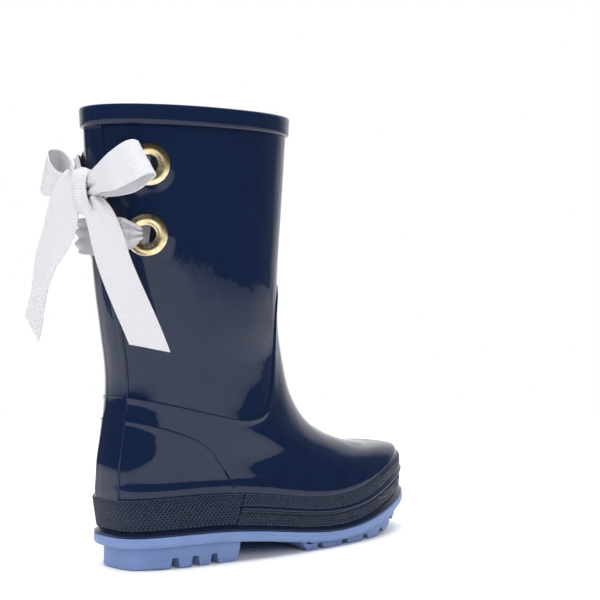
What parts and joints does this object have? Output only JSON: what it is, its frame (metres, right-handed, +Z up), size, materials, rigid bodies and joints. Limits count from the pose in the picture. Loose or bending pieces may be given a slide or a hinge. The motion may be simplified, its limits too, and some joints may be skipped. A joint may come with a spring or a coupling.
{
  "type": "rain boot",
  "caption": "Child's glossy rubber rain boot with a knurled foxing band, cleated outsole and a ribbon bow threaded through eyelets at the back of the leg",
  "frame": {"origin": "on the ground under the middle of the leg, on the tread of the heel block", "axes": "X to the toe, Y to the inner side of the foot, Z up"},
  "size_m": [0.2243, 0.0927, 0.2205],
  "materials": {
    "rubber": "high gloss, moulded",
    "outsole": "satin, moulded",
    "brass": "polished, slightly antiqued",
    "ribbon": "matt grosgrain weave",
    "lining": "matt knitted textile",
    "board": "matt fibre board"
  },
  "bodies": {
    "boot": {"arch_foxing": "rubber", "back_stay": "rubber", "bow_knot": "ribbon", "bow_loop_left": "ribbon", "bow_loop_right": "ribbon", "collar_band": "rubber", "counter_inner": "rubber", "counter_outer": "rubber", "eyelet_lower_left": "brass", "eyelet_lower_right": "brass", "eyelet_upper_left": "brass", "eyelet_upper_right": "brass", "footbed": "lining", "heel_foxing": "rubber", "insole_board": "board", "leg": "rubber", "lining": "lining", "outsole": "outsole", "ribbon_back_run": "ribbon", "ribbon_inner_left": "ribbon", "ribbon_inner_right": "ribbon", "ribbon_upper_left": "ribbon", "ribbon_upper_right": "ribbon", "toe_foxing": "rubber", "vamp": "rubber", "washer_lower_left": "brass", "washer_lower_right": "brass", "washer_upper_left": "brass", "washer_upper_right": "brass", "welt_lip": "rubber"},
    "tail_right": {"bow_tail_right": "ribbon"},
    "tail_left": {"bow_tail_left": "ribbon"}
  },
  "joints": [
    {"name": "tail_right_swing", "type": "hinge", "parent": "boot", "child": "tail_right", "pos_m": [-0.06423, -0.01636, 0.1681], "axis": [-0.507, 0.8619, 0], "range_deg": [-6, 55]},
    {"name": "tail_left_swing", "type": "hinge", "parent": "boot", "child": "tail_left", "pos_m": [-0.06963, 0.00434, 0.1681], "axis": [0, 1, 0], "range_deg": [-6, 55]}
  ]
}
